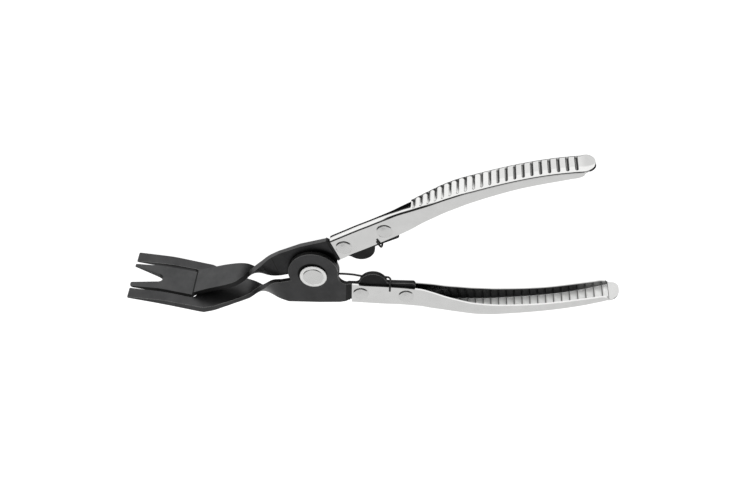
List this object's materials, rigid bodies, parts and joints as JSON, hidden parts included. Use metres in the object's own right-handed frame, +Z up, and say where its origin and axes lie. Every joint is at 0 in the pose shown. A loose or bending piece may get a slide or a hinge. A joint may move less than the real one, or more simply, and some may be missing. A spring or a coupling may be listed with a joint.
{
  "type": "clip removal pliers",
  "caption": "Spreading trim-clip pliers: a flat blade with a V-notch nested in a forked jaw, twisted steel necks, a sprung pivot rivet and ribbed channel handles.",
  "frame": {"origin": "centre of the bounding box's bottom face, with the tool lying on its side on the z = 0 plane", "axes": "+X along the tool from the jaws to the handles, +Y from the fork arm towards the blade arm, +Z up, towards the pivot rivet's stepped head"},
  "size_m": [0.2278, 0.0836, 0.0325],
  "materials": {
    "black_steel": "satin black phosphated and oiled sheet steel",
    "nickel_sheet": "bright nickel-plated pressed sheet",
    "nickel_rivet": "satin nickel-plated rivet steel",
    "zinc_washer": "zinc-plated",
    "spring_wire": "oiled dark spring wire"
  },
  "bodies": {
    "lower_arm": {"outer_fork_jaw": "black_steel", "lower_handle_shell": "nickel_sheet", "lower_handle_rivet_front": "nickel_rivet", "lower_handle_rivet_rear": "nickel_rivet", "pivot_rivet": "nickel_rivet", "rear_washer": "zinc_washer", "torsion_spring": "spring_wire"},
    "upper_arm": {"notched_blade_jaw": "black_steel", "upper_handle_shell": "nickel_sheet", "upper_handle_rivet_front": "nickel_rivet", "upper_handle_rivet_rear": "nickel_rivet"}
  },
  "joints": [
    {"name": "arm_pivot", "type": "hinge", "parent": "lower_arm", "child": "upper_arm", "pos_m": [-0.02642, 0.0003, 0.0126], "axis": [-0.0486, 0, -0.9988], "range_deg": [0, 21.2], "stiffness_Nm_per_rad": 0.35, "springref_deg": -28.65, "deforming": ["torsion_spring"]}
  ]
}
